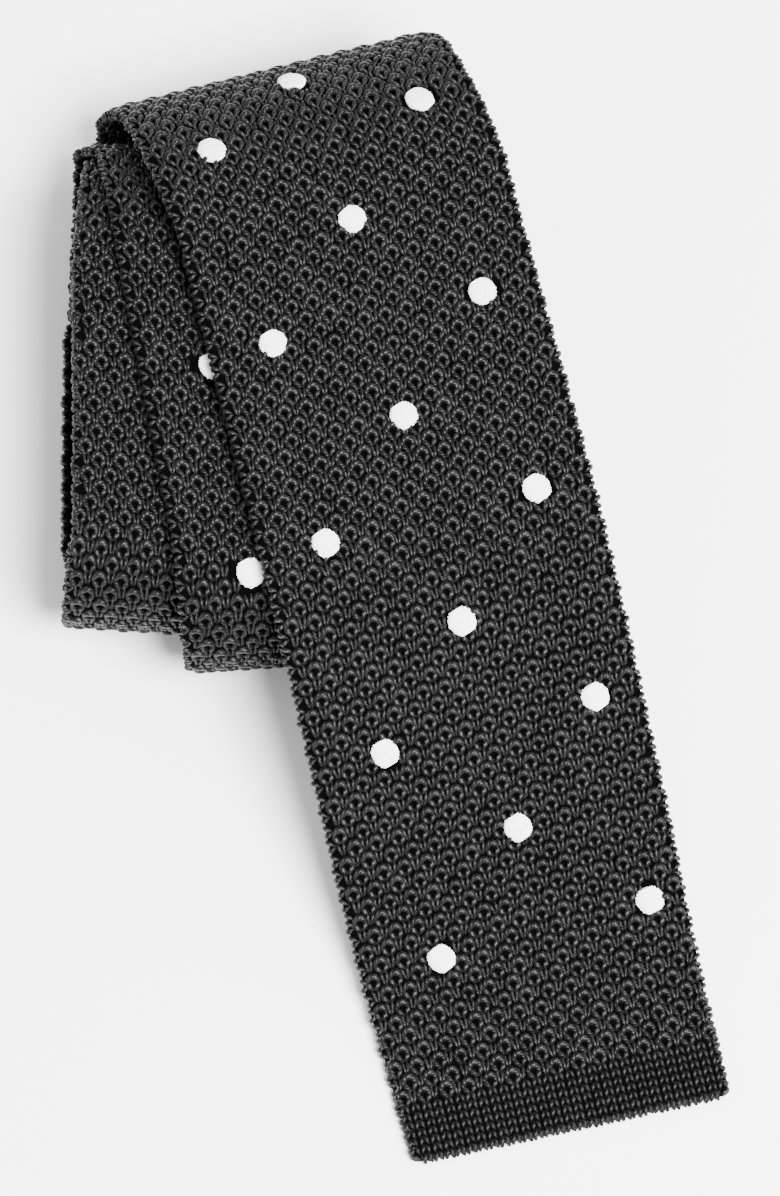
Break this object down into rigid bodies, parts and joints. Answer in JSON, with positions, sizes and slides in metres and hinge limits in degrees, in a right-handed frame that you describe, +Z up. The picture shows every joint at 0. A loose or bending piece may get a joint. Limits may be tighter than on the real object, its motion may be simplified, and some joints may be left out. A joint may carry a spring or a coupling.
{
  "type": "necktie",
  "caption": "Square-ended knitted necktie with white embroidered dots, rolled up flat from its tail so the front blade lies over the roll.",
  "frame": {"origin": "middle of the footprint, on the surface the tie lies on", "axes": "+Y up the blade from the front hem towards the folded top end, +X to the blade's right as seen from above, +Z up"},
  "size_m": [0.124, 0.2146, 0.0403],
  "materials": {
    "knit": "matt silky knit",
    "hem_knit": "plain fine knit",
    "white_thread": "satin stitched thread",
    "black_thread": "sewing thread",
    "label_ribbon": "woven ribbon",
    "keeper_ribbon": "woven ribbon",
    "lining": "woven tape"
  },
  "bodies": {
    "roll": {"underlay_knit": "knit", "bottom_fold_knit": "knit", "second_turn_knit": "knit", "taper_knit": "knit", "neck_outer_knit": "knit", "neck_inner_knit": "knit", "tail_knit": "knit", "roll_dots": "white_thread", "roll_seam": "black_thread", "tail_hem_linking": "black_thread", "tail_hem_band": "hem_knit", "neck_lining": "lining"},
    "fold_4": {"fold_4_knit": "knit", "fold_4_seam": "black_thread"},
    "fold_3": {"fold_3_knit": "knit", "fold_3_seam": "black_thread", "fold_3_dots": "white_thread"},
    "fold_2": {"fold_2_knit": "knit", "fold_2_seam": "black_thread"},
    "fold_1": {"fold_1_knit": "knit", "fold_1_seam": "black_thread", "fold_1_dots": "white_thread"},
    "blade_upper": {"blade_upper_knit": "knit", "blade_upper_seam": "black_thread", "blade_upper_dots": "white_thread", "keeper_loop": "keeper_ribbon", "keeper_loop_tacks": "black_thread", "blank_label": "label_ribbon", "label_tacks": "black_thread"},
    "blade_middle": {"blade_middle_knit": "knit", "blade_middle_seam": "black_thread", "blade_middle_dots": "white_thread"},
    "blade_lower": {"blade_lower_knit": "knit", "blade_lower_seam": "black_thread", "blade_lower_dots": "white_thread"},
    "blade_end": {"blade_end_knit": "knit", "blade_end_seam": "black_thread", "front_hem_band": "hem_knit", "front_hem_linking": "black_thread"}
  },
  "joints": [
    {"name": "blade_unroll", "type": "hinge", "parent": "roll", "child": "fold_4", "pos_m": [-0.02276, 0.08245, 0], "axis": [-0.9664, -0.2571, 0], "range_deg": [0, 22.5]},
    {"name": "unroll_low", "type": "hinge", "parent": "fold_4", "child": "fold_3", "pos_m": [-0.0253, 0.0943, 0.00501], "axis": [-0.9664, -0.2571, 0], "range_deg": [0, 45]},
    {"name": "unroll_middle", "type": "hinge", "parent": "fold_3", "child": "fold_2", "pos_m": [-0.02601, 0.09929, 0.01711], "axis": [-0.9664, -0.2571, 0], "range_deg": [0, 45]},
    {"name": "unroll_high", "type": "hinge", "parent": "fold_2", "child": "fold_1", "pos_m": [-0.02066, 0.09511, 0.0302], "axis": [-0.9664, -0.2571, 0], "range_deg": [0, 40]},
    {"name": "unroll_crest", "type": "hinge", "parent": "fold_1", "child": "blade_upper", "pos_m": [-0.00933, 0.06737, 0.04014], "axis": [-0.9664, -0.2571, 0], "range_deg": [0, 23.5]},
    {"name": "nose_straighten", "type": "hinge", "parent": "blade_upper", "child": "blade_middle", "pos_m": [0.0093, -0.00711, 0.03543], "axis": [-0.9708, -0.2399, 0], "range_deg": [0, 27]},
    {"name": "blade_lift", "type": "hinge", "parent": "blade_middle", "child": "blade_lower", "pos_m": [0.01811, -0.04237, 0.01837], "axis": [-0.973, -0.2309, 0], "range_deg": [0, 120]},
    {"name": "end_straighten", "type": "hinge", "parent": "blade_lower", "child": "blade_end", "pos_m": [0.02544, -0.07161, 0.00238], "axis": [-0.9748, -0.2232, 0], "range_deg": [-27, 0]}
  ],
  "couplings": [
    {"joint": "end_straighten", "follows": "nose_straighten", "ratio": -1}
  ]
}
